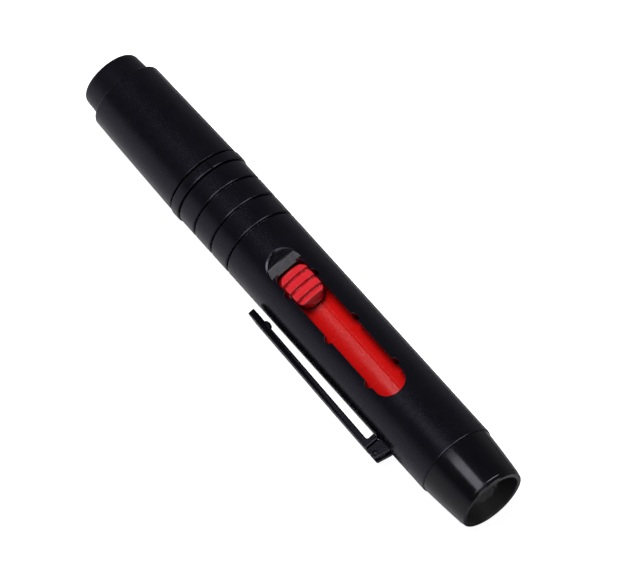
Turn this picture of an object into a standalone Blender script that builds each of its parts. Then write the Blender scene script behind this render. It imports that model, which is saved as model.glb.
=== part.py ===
"""Lens cleaning pen: a retractable brush in front, a capped cleaning tip at the rear, and a clip.

The pen lies on its side along X, with its brush end towards +X. It rests on its collar, and the ears of
its clip nearly touch the ground.
Each piece is drawn in the pen's own axes, in millimetres: a along the pen from the rear end face, then y,
and z towards the slot that the slider button runs in. The clip is on the -y side.
"""

import math

import bmesh
import bpy
from mathutils import Matrix, Vector

MM = 0.001

# Lengths along the pen, from the rear end face.
LENGTH = 111.2
NUB_END = 4.8
CAP_REAR = 5.0
CAP_MOUTH = 28.05
COLLAR_REAR = 28.35
COLLAR_FRONT = 30.45
BARREL_REAR = 30.75
BARREL_FRONT = 101.2
GROOVES = (35.0, 39.8, 44.6)

# Radii and widths.
BODY_R = 7.755
COLLAR_R = 8.0
CAP_REAR_R = 7.35
CAP_MOUTH_R = 7.83
NUB_R = 6.3
NUB_TIP_R = 6.0
NOZZLE_R = 7.56
NOZZLE_MIDDLE = (106.3, 7.18)
NOZZLE_LIP = (110.35, 6.78)
MOUTH_R = 6.62
MOUTH_BORE = 5.66
BARREL_BORE = 6.0
SOCKET_BORE = 6.6
CAP_BORE = 5.95
GROOVE_WIDTH = 0.6
GROOVE_DEPTH = 0.5

# Slot, its detent notches, and the thumb recess that opens into its rear end.
SLOT_REAR = 54.4
SLOT_FRONT = 86.8
SLOT_WIDTH = 6.1
SLOT_REAR_CORNER = 1.3
SLOT_FRONT_CORNER = 3.0
NOTCHES = (58.65, 70.2, 81.75)
NOTCH_R = 0.75
RECESS_R = 3.75
RECESS_EDGE = 54.45
RECESS_APEX = 50.55
RECESS_FLOOR = 6.75
RAMP_START = 52.6
RAMP_FLOOR = 6.45

# Slider.
BUTTON_REAR = 55.7
BUTTON_LENGTH = 7.4
BUTTON_WIDTH = 5.7
BUTTON_FRONT_CORNER = 2.6
BUTTON_TOP_R = 8.35
BUTTON_FLOOR = 5.8
RIB_START = 1.4
RIB_PITCH = 2.0
RIB_COUNT = 3
PEG_SIZE = (2.4, 2.4)
CARRIER_R = 5.25
CARRIER_BORE = 4.0
CARRIER_REAR = 54.5
CARRIER_FRONT = 88.0
GUIDE_R = 5.6

# Clip and its hinge pin.
CLIP_TIP = 53.65
CLIP_INNER_TIP = 8.87
CLIP_INNER_ROOT = 9.45
CLIP_THICKNESS = 1.3
CLIP_WIDTH = 3.8
CLIP_HEEL = 87.55
BUMP_A = 57.7
BUMP_HALF = 0.95
BUMP_HEIGHT = 0.62
HEEL_WIDTH = 1.1
HEEL_FLOOR = 8.05
EAR_REAR = 88.95
EAR_FRONT = 91.8
EAR_THICKNESS = 0.75
EAR_SPAN = 3.2
EAR_REACH = 10.75
PIN_A = 90.4
PIN_OFFSET = 9.95
PIN_R = 0.4

# How the pen lies: the roll about its axis that brings the clip down to the ground.
ROLL = math.radians(36)
SEGMENTS = 40
CLIP_REACH = 9.87
AXIS_Y = (CLIP_REACH - COLLAR_R) / 2

BLACK = (0.014, 0.014, 0.016)
RED = (0.72, 0.045, 0.055)


def material(name, colour, roughness, metallic=0.0):
    made = bpy.data.materials.new(name)
    made.use_nodes = True
    shader = made.node_tree.nodes["Principled BSDF"]
    shader.inputs["Base Color"].default_value = (*colour, 1)
    shader.inputs["Roughness"].default_value = roughness
    shader.inputs["Metallic"].default_value = metallic
    return made


def collection(name):
    made = bpy.data.collections.new(name)
    bpy.context.scene.collection.children.link(made)
    return made


def new_object(name, mesh, group, parent, look=None):
    """Links a mesh that is drawn in millimetres, turned into metres, as an object."""
    mesh.transform(Matrix.Scale(MM, 4))
    made = bpy.data.objects.new(name, mesh)
    group.objects.link(made)
    made.parent = parent
    if look:
        mesh.materials.append(look)
    return made


def empty(name, group, parent=None, location=(0, 0, 0)):
    made = bpy.data.objects.new(name, None)
    made.empty_display_size = 0.005
    group.objects.link(made)
    made.parent = parent
    made.location = location
    return made


def turned(name, profile, group, parent, look=None, closed=True):
    """A turned piece. Its profile is (a, r) points, front to rear outside, then back up the bore."""
    mesh = bpy.data.meshes.new(name)
    edges = [(i, i + 1) for i in range(len(profile) - 1)]
    if closed:
        edges.append((len(profile) - 1, 0))
    mesh.from_pydata([(r, 0, a) for a, r in profile], edges, [])
    made = new_object(name, mesh, group, parent, look)
    made.rotation_euler = (0, math.pi / 2, 0)
    screw = made.modifiers.new("turn", "SCREW")
    screw.axis = "Z"
    screw.angle = 2 * math.pi
    screw.steps = SEGMENTS
    screw.render_steps = SEGMENTS
    screw.use_merge_vertices = True
    screw.merge_threshold = 0.00001
    screw.use_smooth_shade = True
    return made


def outline_solid(name, outline, low, high, plane, group, parent, look=None, turn=None):
    """An outline pulled straight from low to high: along y in plane "az", and along z in plane "ay"."""
    work = bmesh.new()
    place = {"az": lambda a, b, h: (a, h, b), "ay": lambda a, b, h: (a, b, h)}[plane]
    face = work.faces.new([work.verts.new(place(a, b, low)) for a, b in outline])
    pulled = bmesh.ops.extrude_face_region(work, geom=[face])
    tops = [item for item in pulled["geom"] if isinstance(item, bmesh.types.BMVert)]
    bmesh.ops.translate(work, verts=tops, vec=Vector(place(0, 0, high - low)))
    if turn:
        bmesh.ops.rotate(work, verts=work.verts, cent=(0, 0, 0), matrix=turn)
    bmesh.ops.recalc_face_normals(work, faces=work.faces)
    mesh = bpy.data.meshes.new(name)
    work.to_mesh(mesh)
    work.free()
    return new_object(name, mesh, group, parent, look)


def boolean(target, cutter, operation="DIFFERENCE"):
    change = target.modifiers.new(f"{operation.lower()} {cutter.name}", "BOOLEAN")
    change.operation = operation
    change.object = cutter
    change.solver = "EXACT"


def cutter_of(made):
    made.hide_render = True
    made.display_type = "WIRE"
    return made


def smooth(made, degrees=35):
    made.data.shade_smooth()
    made.data.set_sharp_from_angle(angle=math.radians(degrees))


def arc(centre, radius, start, end, count):
    """Points along an arc, in degrees, both ends included."""
    steps = [math.radians(start + (end - start) * i / count) for i in range(count + 1)]
    return [(centre[0] + radius * math.cos(t), centre[1] + radius * math.sin(t)) for t in steps]


def rounded_box(low, high, front, rear=None, count=4):
    """A rectangle's outline from its low and high corners, with its front and rear corners rounded."""
    (x0, y0), (x1, y1) = low, high
    rear = front if rear is None else rear
    corners = ((x1, y1, 0, front), (x0, y1, 90, rear), (x0, y0, 180, rear), (x1, y0, 270, front))
    points = []
    for x, y, start, corner in corners:
        centre = (x - corner if x == x1 else x + corner, y - corner if y == y1 else y + corner)
        points += arc(centre, corner, start, start + 90, count)
    return points


def grooved():
    """The barrel's outer side, with its fine grooves, from front to rear."""
    points = [(BARREL_FRONT, BODY_R)]
    half = GROOVE_WIDTH / 2
    for centre in reversed(GROOVES):
        points += [(centre + half, BODY_R), (centre, BODY_R - GROOVE_DEPTH), (centre - half, BODY_R)]
    return points + [(BARREL_REAR, BODY_R)]


def clip_turn():
    """The turn about the pen's axis that carries the slot side (+z) round to the clip side (-y)."""
    return Matrix.Rotation(math.pi / 2, 3, "X")


def make_barrel(parts, cutters, frame, look):
    bore = [
        (BARREL_REAR, BARREL_BORE),
        (96.0, BARREL_BORE),
        (96.0, SOCKET_BORE),
        (BARREL_FRONT, SOCKET_BORE),
    ]
    barrel = turned("barrel", grooved() + bore, parts, frame, look)

    ears = ear_outline()
    outside = EAR_SPAN / 2
    inside = outside - EAR_THICKNESS
    for name, low, high in (("ear_upper", inside, outside), ("ear_lower", -outside, -inside)):
        ear = outline_solid(name, ears, low, high, "az", cutters, frame, None, clip_turn())
        boolean(barrel, cutter_of(ear), "UNION")

    half = SLOT_WIDTH / 2
    slot = rounded_box((SLOT_REAR, -half), (SLOT_FRONT, half), SLOT_FRONT_CORNER, SLOT_REAR_CORNER, 6)
    boolean(barrel, cutter_of(outline_solid("slot_cut", slot, 3, 10, "ay", cutters, frame)))
    for number, centre in enumerate(NOTCHES, 1):
        notch = rounded_box((centre - NOTCH_R, -half - NOTCH_R), (centre + NOTCH_R, half + NOTCH_R), 0.5)
        cut = outline_solid(f"notch_cut_{number}", notch, 4, 10, "ay", cutters, frame)
        boolean(barrel, cutter_of(cut))
    boolean(barrel, make_recess_cutter(cutters, frame))
    boolean(barrel, make_pin_cutter("ear_hole_cut", PIN_R + 0.05, cutters, frame))
    return barrel


def ear_outline():
    """One ear's side, as (a, height above the axis)."""
    return [
        (EAR_REAR, 6.9),
        (EAR_FRONT, 6.9),
        (EAR_FRONT, 7.8),
        (EAR_FRONT - 0.6, EAR_REACH - 0.3),
        (EAR_FRONT - 0.9, EAR_REACH),
        (EAR_REAR, EAR_REACH),
    ]


def make_recess_cutter(cutters, frame):
    """A half-moon pocket. Its floor is flat, and then slopes down towards the slot."""
    depth = RECESS_EDGE - RECESS_APEX
    half_moon = [
        (RECESS_EDGE - depth * math.sin(t), RECESS_R * math.cos(t))
        for t in (math.pi * i / 14 for i in range(15))
    ]
    cut = outline_solid("recess_cut", half_moon, 5, 9, "ay", cutters, frame)
    above = [
        (RECESS_APEX - 1, RECESS_FLOOR),
        (RAMP_START, RECESS_FLOOR),
        (RECESS_EDGE, RAMP_FLOOR),
        (RECESS_EDGE + 1, RAMP_FLOOR),
        (RECESS_EDGE + 1, 10),
        (RECESS_APEX - 1, 10),
    ]
    floor = outline_solid("recess_floor", above, -5, 5, "az", cutters, frame)
    boolean(cut, cutter_of(floor), "INTERSECT")
    return cutter_of(cut)


def make_pin_cutter(name, radius, cutters, frame):
    circle = arc((PIN_A, PIN_OFFSET), radius, 0, 345, 23)
    return cutter_of(outline_solid(name, circle, -4, 4, "az", cutters, frame, None, clip_turn()))


def make_nozzle(parts, frame, look):
    shoulder = BARREL_FRONT + 0.2
    profile = [
        (LENGTH, MOUTH_R - 0.1),
        (LENGTH - 0.1, MOUTH_R),
        NOZZLE_LIP,
        NOZZLE_MIDDLE,
        (shoulder, NOZZLE_R),
        (shoulder, SOCKET_BORE - 0.15),
        (96.3, SOCKET_BORE - 0.15),
        (96.3, MOUTH_BORE - 0.06),
        (LENGTH, MOUTH_BORE),
    ]
    return turned("nozzle", profile, parts, frame, look)


def make_clip(parts, cutters, hinge, frame, look):
    """The bar, its bump and its heel, drawn from the side and pulled across the clip's width."""
    slope = (CLIP_INNER_ROOT - CLIP_INNER_TIP) / (CLIP_HEEL - CLIP_TIP)

    def inner(a):
        return CLIP_INNER_TIP + slope * (a - CLIP_TIP)

    bar = [
        (CLIP_TIP, inner(CLIP_TIP) + CLIP_THICKNESS),
        (CLIP_TIP, inner(CLIP_TIP)),
        (CLIP_HEEL, CLIP_INNER_ROOT),
        (CLIP_HEEL, HEEL_FLOOR),
        (EAR_REAR - 0.25, HEEL_FLOOR),
        (EAR_REAR - 0.25, EAR_REACH),
    ]
    half = CLIP_WIDTH / 2
    clip = outline_solid("pocket_clip", bar, -half, half, "az", parts, frame, look, clip_turn())
    swell = [(a, inner(a) - b * BUMP_HEIGHT / BUMP_HALF) for a, b in arc((BUMP_A, 0), BUMP_HALF, 180, 0, 6)]
    swell += [(BUMP_A + BUMP_HALF, inner(BUMP_A) + 0.5), (BUMP_A - BUMP_HALF, inner(BUMP_A) + 0.5)]
    bump = outline_solid(
        "clip_bump", swell, -BUMP_HALF, BUMP_HALF, "az", cutters, frame, None, clip_turn()
    )
    boolean(clip, cutter_of(bump), "UNION")
    tongue_front = EAR_FRONT - 0.5
    heel = [
        (CLIP_HEEL + 0.2, HEEL_FLOOR + 0.1),
        (tongue_front, HEEL_FLOOR + 0.1),
        (tongue_front, 9.3),
        (tongue_front - 0.5, EAR_REACH - 0.35),
        (CLIP_HEEL + 0.2, EAR_REACH - 0.1),
    ]
    tongue = outline_solid(
        "heel_tongue", heel, -HEEL_WIDTH / 2, HEEL_WIDTH / 2, "az", cutters, frame, None, clip_turn()
    )
    boolean(clip, cutter_of(tongue), "UNION")
    round_end = rounded_box((CLIP_TIP, -half), (CLIP_TIP + 60, half), 1.6)
    keep = outline_solid("clip_end_round", round_end, 6, 12, "ay", cutters, frame, None, clip_turn())
    boolean(clip, cutter_of(keep), "INTERSECT")
    boolean(clip, make_pin_cutter("heel_hole_cut", PIN_R + 0.15, cutters, frame))
    move_origin(clip, hinge)

    circle = arc((PIN_A, PIN_OFFSET), PIN_R, 0, 337.5, 15)
    ends = EAR_SPAN / 2
    pin = outline_solid("clip_pin", circle, -ends, ends, "az", parts, frame, look, clip_turn())
    move_origin(pin, hinge)
    return clip, pin


def move_origin(made, place):
    """Moves an object under another parent, and leaves its shape where it is."""
    made.data.transform(Matrix.Translation(-place.location))
    made.parent = place


def make_slider(parts, cutters, slide, red, dark_red):
    """The ribbed button, with the peg that locks it into the carrier."""
    rear, front = BUTTON_REAR, BUTTON_REAR + BUTTON_LENGTH
    top = BUTTON_TOP_R
    outline = [(rear, BUTTON_FLOOR), (rear, top - 0.3)]
    for i in range(RIB_COUNT):
        crest = rear + RIB_START + RIB_PITCH * i
        outline += [(crest, top + 0.1), (crest + 0.4, top - 0.4)]
    outline += [(front - 0.7, top - 0.5), (front, 6.9), (front, BUTTON_FLOOR)]
    half = BUTTON_WIDTH / 2
    button = outline_solid("slider_button", outline[::-1], -half, half, "az", parts, slide, red)
    plan = rounded_box((rear, -half), (front, half), BUTTON_FRONT_CORNER, SLOT_REAR_CORNER, 6)
    boolean(button, cutter_of(outline_solid("button_plan", plan, 4, 10, "ay", cutters, slide)), "INTERSECT")
    dome = [(front + 3, 0), (front + 3, top), (rear - 3, top), (rear - 3, 0)]
    boolean(button, cutter_of(turned("button_dome", dome, cutters, slide, closed=False)), "INTERSECT")
    middle = NOTCHES[0]
    peg = rounded_box(
        (middle - PEG_SIZE[0] / 2, -PEG_SIZE[1] / 2), (middle + PEG_SIZE[0] / 2, PEG_SIZE[1] / 2), 0.4
    )
    boolean(button, cutter_of(outline_solid("button_peg", peg, 4.25, 6.5, "ay", cutters, slide)), "UNION")

    rear_ring = CARRIER_REAR + 1.5
    profile = [
        (CARRIER_FRONT, CARRIER_R),
        (rear_ring + 0.3, CARRIER_R),
        (rear_ring, GUIDE_R),
        (CARRIER_REAR, GUIDE_R),
        (CARRIER_REAR, CARRIER_BORE),
        (CARRIER_FRONT, CARRIER_BORE),
    ]
    carrier = turned("brush_carrier", profile, parts, slide, dark_red)
    hole = rounded_box(
        (middle - PEG_SIZE[0] / 2 - 0.2, -PEG_SIZE[1] / 2 - 0.2),
        (middle + PEG_SIZE[0] / 2 + 0.2, PEG_SIZE[1] / 2 + 0.2),
        0.5,
    )
    boolean(carrier, cutter_of(outline_solid("carrier_hole_cut", hole, 3, 7, "ay", cutters, slide)))
    return button, carrier


def make_detent_spring(parts, cutters, slide, steel):
    """A flat spring plate round the button's peg. Its two noses click into the slot's notches."""
    middle = NOTCHES[0]
    nose = SLOT_WIDTH / 2 - 0.05
    body = SLOT_WIDTH / 2 - 0.45
    plate = [(middle + 2.15, body), (middle + 0.5, body), (middle + 0.25, nose), (middle - 0.25, nose)]
    plate += [(middle - 0.5, body), (middle - 2.15, body)]
    plate += [(a, -y) for a, y in reversed(plate)]
    spring = outline_solid("detent_spring", plate, 5.35, 5.65, "ay", parts, slide, steel)
    hole = rounded_box((middle - 1.45, -1.45), (middle + 1.45, 1.45), 0.5)
    boolean(spring, cutter_of(outline_solid("spring_hole_cut", hole, 4, 7, "ay", cutters, slide)))
    return spring


def make_brush(parts, slide, steel, hair):
    ferrule = [
        (92.0, 4.75),
        (91.8, 4.9),
        (88.25, 4.9),
        (88.25, 3.8),
        (80.0, 3.8),
        (80.0, 1.5),
        (88.9, 1.5),
        (88.9, 4.3),
        (92.0, 4.3),
    ]
    made = [turned("brush_ferrule", ferrule, parts, slide, steel)]
    tip = 110.2
    crown = [(tip, 0)]
    for i in (4, 3, 2, 1, 0):
        t = math.pi / 2 * i / 5
        crown.append((tip - 3.6 + 3.6 * math.sin(t), 4.9 * math.cos(t)))
    bristles = crown + [(98.0, 4.8), (92.6, 4.1), (89.1, 4.1), (89.1, 0)]
    made.append(turned("brush_bristles", bristles, parts, slide, hair, closed=False))
    return made


def make_tip(parts, frame, plastic, rubber, pad):
    """The rear plug, the stem screwed into it, and the flexible cleaning tip."""
    plug = [
        (42.0, 5.5),
        (41.6, 5.85),
        (31.0, 5.85),
        (31.0, 5.0),
        (28.25, 5.0),
        (28.25, 2.7),
        (38.0, 2.7),
        (38.0, 1.0),
        (42.0, 1.0),
    ]
    made = [turned("stem_plug", plug, parts, frame, plastic)]
    stem = [(36.0, 0), (36.0, 2.2), (35.7, 2.5), (28.0, 2.5), (28.0, 5.55)]
    for centre in (25.5, 22.0):
        stem += [(centre + 0.6, 5.55), (centre + 0.6, 5.05), (centre - 0.6, 5.05), (centre - 0.6, 5.55)]
    stem += [(20.3, 5.55), (20.0, 5.25), (20.0, 3.0), (14.0, 3.0), (14.0, 1.3), (10.7, 1.3), (10.7, 0)]
    made.append(turned("tip_stem", stem, parts, frame, plastic, closed=False))
    for name, centre in (("friction_ring_front", 25.5), ("friction_ring_rear", 22.0)):
        ring = [(b, r) for r, b in arc((5.45, centre), 0.3, 315, 0, 7)]
        made.append(turned(name, ring, parts, frame, rubber))
    neck = [(13.75, 2.6), (13.3, 3.3), (12.9, 2.7), (12.5, 3.3), (12.0, 2.6), (12.0, 1.5), (13.75, 1.5)]
    made.append(turned("tip_neck", neck, parts, frame, rubber))
    made.append(turned("tip_pad_holder", pad_holder_profile(), parts, frame, plastic, closed=False))
    face = [(9.8, 0), (9.8, 4.6), (9.3, 4.8), (8.9, 4.7), (8.65, 4.0), (8.8, 2.0), (8.9, 0)]
    made.append(turned("tip_pad", face, parts, frame, pad, closed=False))
    return made


def pad_holder_profile():
    """Open at the front, where the stem's end goes in."""
    return [(10.4, 0), (10.4, 1.5), (11.75, 1.5), (11.75, 2.6), (10.9, 4.3), (10.0, 4.6), (10.0, 0)]


def make_cap(parts, frame, black, sponge, cup_look):
    mouth_bevel = 0.15
    shell = [
        (CAP_MOUTH, CAP_MOUTH_R - mouth_bevel),
        (CAP_MOUTH - mouth_bevel, CAP_MOUTH_R),
        (CAP_REAR + 0.2, CAP_REAR_R),
        (CAP_REAR, CAP_REAR_R - 0.2),
        (CAP_REAR, CAP_BORE),
        (CAP_MOUTH, CAP_BORE),
    ]
    made = [turned("cap_shell", shell, parts, frame, black)]
    fillet = 0.9
    rim = arc((fillet, NUB_TIP_R - fillet), fillet, 90, 180, 4)
    spigot = CAP_BORE - 0.2
    plug = [(5.75, 0), (5.75, spigot), (NUB_END, spigot), (NUB_END, NUB_R)] + rim + [(0, 0)]
    made.append(turned("cap_end_plug", plug, parts, frame, black, closed=False))
    cup = [(8.2, 5.75), (5.95, 5.75), (5.95, 0), (6.6, 0), (6.6, 5.25), (8.2, 5.25)]
    cup = cup[3:] + cup[:3]
    made.append(turned("sponge_cup", cup, parts, frame, cup_look, closed=False))
    foam = [(8.4, 0), (8.4, 4.8), (8.2, 5.05), (6.8, 5.05), (6.8, 0)]
    made.append(turned("carbon_sponge", foam, parts, frame, sponge, closed=False))
    return made


def make_collar(parts, frame, look):
    bevel = 0.12
    ring = [
        (COLLAR_FRONT, COLLAR_R - bevel),
        (COLLAR_FRONT - bevel, COLLAR_R),
        (COLLAR_REAR + bevel, COLLAR_R),
        (COLLAR_REAR, COLLAR_R - bevel),
        (COLLAR_REAR, 5.2),
        (COLLAR_FRONT, 5.2),
    ]
    return turned("collar_ring", ring, parts, frame, look)


def main():
    for old in list(bpy.data.objects):
        bpy.data.objects.remove(old, do_unlink=True)
    parts = collection("lens_cleaning_pen")
    cutters = collection("cutters")

    satin = material("satin_black", BLACK, 0.38)
    gloss = material("gloss_black", BLACK, 0.12)
    red = material("red_plastic", RED, 0.35)
    dark_red = material("deep_red_plastic", (0.5, 0.012, 0.014), 0.3)
    rubber = material("black_rubber", (0.03, 0.03, 0.03), 0.8)
    steel = material("spring_steel", (0.55, 0.55, 0.57), 0.3, 1.0)
    hair = material("goat_hair", (0.02, 0.018, 0.017), 0.7)
    sponge = material("carbon_sponge", (0.012, 0.012, 0.012), 0.95)
    pad = material("chamois", (0.03, 0.03, 0.03), 0.9)

    frame = empty("pen_axis", parts, None, (-LENGTH / 2 * MM, AXIS_Y * MM, COLLAR_R * MM))
    frame.rotation_euler = (ROLL, 0, 0)
    cap_frame = empty("cap_axis", parts, frame)
    slide = empty("brush_axis", parts, frame)
    hinge = empty("clip_axis", parts, frame, (PIN_A * MM, -PIN_OFFSET * MM, 0))

    made = [make_barrel(parts, cutters, frame, satin), make_nozzle(parts, frame, gloss)]
    made += make_clip(parts, cutters, hinge, frame, satin)
    made += make_slider(parts, cutters, slide, red, dark_red)
    made.append(make_detent_spring(parts, cutters, slide, steel))
    made += make_brush(parts, slide, steel, hair)
    made += make_tip(parts, frame, satin, rubber, pad)
    made.append(make_collar(parts, cap_frame, satin))
    made += make_cap(parts, cap_frame, satin, sponge, satin)
    for piece in made:
        if not any(modifier.type == "SCREW" for modifier in piece.modifiers):
            smooth(piece)


main()
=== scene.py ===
"""Looks of the lens cleaning pen: fine meshes, materials, light and camera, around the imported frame.

Shapes are drawn in the pen's own axes, in millimetres: a along the pen from its rear end face, then y, and z
towards the slider's slot. The clip is on the -y side. PEN carries those axes, in metres, into the frame.
"""

import math

import bmesh
import bpy
import numpy as np
from mathutils import Matrix, Vector

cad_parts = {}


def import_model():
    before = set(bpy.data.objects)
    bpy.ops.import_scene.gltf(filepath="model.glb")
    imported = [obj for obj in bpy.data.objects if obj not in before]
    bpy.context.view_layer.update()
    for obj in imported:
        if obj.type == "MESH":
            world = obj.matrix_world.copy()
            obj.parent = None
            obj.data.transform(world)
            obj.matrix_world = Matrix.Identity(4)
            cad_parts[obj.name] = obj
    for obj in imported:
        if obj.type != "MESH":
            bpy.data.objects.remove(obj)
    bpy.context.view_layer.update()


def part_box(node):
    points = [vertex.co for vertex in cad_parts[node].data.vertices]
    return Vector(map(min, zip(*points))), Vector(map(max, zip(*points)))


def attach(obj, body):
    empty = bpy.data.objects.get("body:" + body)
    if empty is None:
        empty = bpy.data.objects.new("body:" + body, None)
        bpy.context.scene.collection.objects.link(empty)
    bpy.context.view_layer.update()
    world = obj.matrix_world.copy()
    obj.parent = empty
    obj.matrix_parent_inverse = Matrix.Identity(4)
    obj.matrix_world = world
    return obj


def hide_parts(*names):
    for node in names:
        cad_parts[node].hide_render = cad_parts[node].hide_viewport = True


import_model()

MM = 0.001
ROLL = math.radians(36)
COLLAR_LOW, COLLAR_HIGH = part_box("collar_ring")
REAR_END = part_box("cap_end_plug")[0].x
AXIS = Vector((REAR_END, (COLLAR_LOW.y + COLLAR_HIGH.y) / 2, (COLLAR_LOW.z + COLLAR_HIGH.z) / 2))
PEN = Matrix.Translation(AXIS) @ Matrix.Rotation(ROLL, 4, "X")

# Lengths along the pen.
LENGTH = 111.2
NUB_END = 4.8
CAP_REAR = 5.0
CAP_MOUTH = 28.05
COLLAR_REAR = 28.35
COLLAR_FRONT = 30.45
BARREL_REAR = 30.75
BARREL_FRONT = 101.2
SOCKET_REAR = 96.0
NOZZLE_REAR = 96.3
GROOVES = (35.0, 39.8, 44.6)
GROOVE_HALF = 0.2

# Radii.
BODY_R = 7.755
COLLAR_R = 8.0
CAP_REAR_R = 7.35
CAP_MOUTH_R = 7.83
NUB_R = 6.3
NUB_TIP_R = 6.0
NOZZLE_R = 7.56
NOZZLE_MIDDLE = (106.3, 7.18)
NOZZLE_LIP = (110.35, 6.78)
MOUTH_R = 6.62
MOUTH_BORE = 5.66
BARREL_BORE = 6.0
SOCKET_BORE = 6.6
CAP_BORE = 5.95
GROOVE_DEPTH = 0.55

# Slot, notches and recess.
SLOT_REAR = 54.4
SLOT_FRONT = 86.8
SLOT_HALF = 3.05
SLOT_FRONT_CORNER = 3.0
SLOT_REAR_CORNER = 1.3
NOTCHES = (58.65, 70.2, 81.75)
NOTCH_HALF = 0.85
NOTCH_DEPTH = 0.7
RECESS_R = 3.75
RECESS_EDGE = 54.45
RECESS_APEX = 50.55
RECESS_FLOOR = 6.75
RAMP_START = 52.6
RAMP_FLOOR = 6.45
RECESS_BEVEL = 0.3
RECESS_DRAFT = 0.12

SEGMENTS = 256
FINE_SEGMENTS = 1024
INNER_SEGMENTS = 128


# ---------------------------------------------------------------- mesh helpers


def fillet(points, closed=True, steps=4):
    """Rounds the corners of a line of (x, y, radius) points."""
    out = []
    count = len(points)
    for i, (x, y, radius) in enumerate(points):
        here = Vector((x, y))
        if radius <= 0 or (not closed and i in (0, count - 1)):
            out.append((x, y))
            continue
        before = Vector(points[i - 1][:2]) - here
        after = Vector(points[(i + 1) % count][:2]) - here
        reach = min(radius, 0.49 * before.length, 0.49 * after.length)
        first = here + before.normalized() * reach
        last = here + after.normalized() * reach
        for step in range(steps + 1):
            t = step / steps
            out.append(tuple(first * (1 - t) ** 2 + here * 2 * t * (1 - t) + last * t * t))
    return out


def mesh_object(name, work, smooth=40):
    """Links a bmesh drawn in millimetres in the pen's axes. finish_piece takes it into the frame."""
    bmesh.ops.recalc_face_normals(work, faces=work.faces)
    mesh = bpy.data.meshes.new(name)
    work.to_mesh(mesh)
    work.free()
    mesh.shade_smooth()
    mesh.set_sharp_from_angle(angle=math.radians(smooth))
    made = bpy.data.objects.new(name, mesh)
    bpy.context.scene.collection.objects.link(made)
    return made


def turned_mesh(profile, segments=SEGMENTS, bump=None):
    """A lathe shape in a bmesh. A profile that starts on the axis ends there too, and any other is closed.
    bump(a, r, angle) can change a radius."""
    work = bmesh.new()
    rings = []
    for a, r in profile:
        if r < 1e-6:
            rings.append([work.verts.new((a, 0, 0))])
            continue
        ring = []
        for i in range(segments):
            angle = 2 * math.pi * i / segments
            radius = bump(a, r, angle) if bump else r
            ring.append(work.verts.new((a, -radius * math.sin(angle), radius * math.cos(angle))))
        rings.append(ring)
    pairs = list(zip(rings, rings[1:]))
    if len(rings[0]) > 1:
        pairs.append((rings[-1], rings[0]))
    for one, two in pairs:
        if len(one) == 1 and len(two) == 1:
            continue
        for i in range(segments):
            j = (i + 1) % segments
            if len(one) == 1:
                corners = [one[0], two[i], two[j]]
            elif len(two) == 1:
                corners = [one[i], two[0], one[j]]
            else:
                corners = [one[i], two[i], two[j], one[j]]
            work.faces.new(corners)
    return work


def turned(name, profile, segments=SEGMENTS, bump=None, smooth=40):
    return mesh_object(name, turned_mesh(profile, segments, bump), smooth)


def offset(outline, distance):
    """Moves each point of a closed anticlockwise outline outwards along its normal."""
    out = []
    count = len(outline)
    for i, (x, y) in enumerate(outline):
        x0, y0 = outline[i - 1]
        x1, y1 = outline[(i + 1) % count]
        edge1 = Vector((x - x0, y - y0)).normalized()
        edge2 = Vector((x1 - x, y1 - y)).normalized()
        normal = Vector((edge1.y + edge2.y, -(edge1.x + edge2.x)))
        if normal.length < 1e-9:
            normal = Vector((edge1.y, -edge1.x))
        normal.normalize()
        along = max(0.5, normal.dot(Vector((edge1.y, -edge1.x))))
        out.append((x + normal.x * distance / along, y + normal.y * distance / along))
    return out


def lofted(loops):
    """A closed skin through loops of equal length, capped at both ends."""
    work = bmesh.new()
    rings = [[work.verts.new(point) for point in loop] for loop in loops]
    count = len(rings[0])
    for one, two in zip(rings, rings[1:]):
        for i in range(count):
            j = (i + 1) % count
            work.faces.new([one[i], one[j], two[j], two[i]])
    work.faces.new(rings[0])
    work.faces.new(rings[-1])
    bmesh.ops.triangulate(work, faces=[f for f in work.faces if len(f.verts) > 4])
    return work


def surface_cutter(name, outline, rim, draft=0.0, low=3.0, high=9.5, steps=4):
    """A prism through the barrel's wall. It flares at the surface, which leaves the cut a round rim."""
    def lifted(points, drop):
        return [(a, y, math.sqrt(BODY_R**2 - y**2) - drop) for a, y in points]

    loops = [[(a, y, low) for a, y in outline]]
    for step in range(steps + 1):
        t = math.pi / 2 * step / steps
        loops.append(lifted(offset(outline, draft + rim * (1 - math.cos(t))), rim * (1 - math.sin(t))))
    loops.append([(a, y, high) for a, y in offset(outline, draft + rim)])
    return mesh_object(name, lofted(loops))


def combine(target, cutters, operation="DIFFERENCE"):
    """Applies Booleans, with the cutters removed after."""
    for cutter in cutters:
        change = target.modifiers.new("cut", "BOOLEAN")
        change.operation = operation
        change.object = cutter
        change.solver = "EXACT"
    apply_modifiers(target)
    for cutter in cutters:
        bpy.data.objects.remove(cutter)
    return target


def apply_modifiers(made):
    bpy.context.view_layer.update()
    graph = bpy.context.evaluated_depsgraph_get()
    final = bpy.data.meshes.new_from_object(made.evaluated_get(graph))
    made.modifiers.clear()
    old = made.data
    made.data = final
    bpy.data.meshes.remove(old)
    return made


def weighted(made, smooth=40):
    """Smooth shading that leaves large faces flat where small ones meet them."""
    made.data.shade_smooth()
    made.data.set_sharp_from_angle(angle=math.radians(smooth))
    change = made.modifiers.new("normals", "WEIGHTED_NORMAL")
    change.keep_sharp = True
    change.weight = 80
    return apply_modifiers(made)


def plate(outline, half, round_edge, steps=4):
    """Loops of a plate with round edges: an outline pulled from -half to half, for the caller to place."""
    levels = []
    for step in range(steps + 1):
        t = math.pi / 2 * step / steps
        levels.append((round_edge * (1 - math.sin(t)), half - round_edge * (1 - math.cos(t))))
    loops = [(offset(outline, -inset), -across) for inset, across in levels]
    loops += [(offset(outline, -inset), across) for inset, across in reversed(levels)]
    return loops


# ---------------------------------------------------------------- materials


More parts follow.
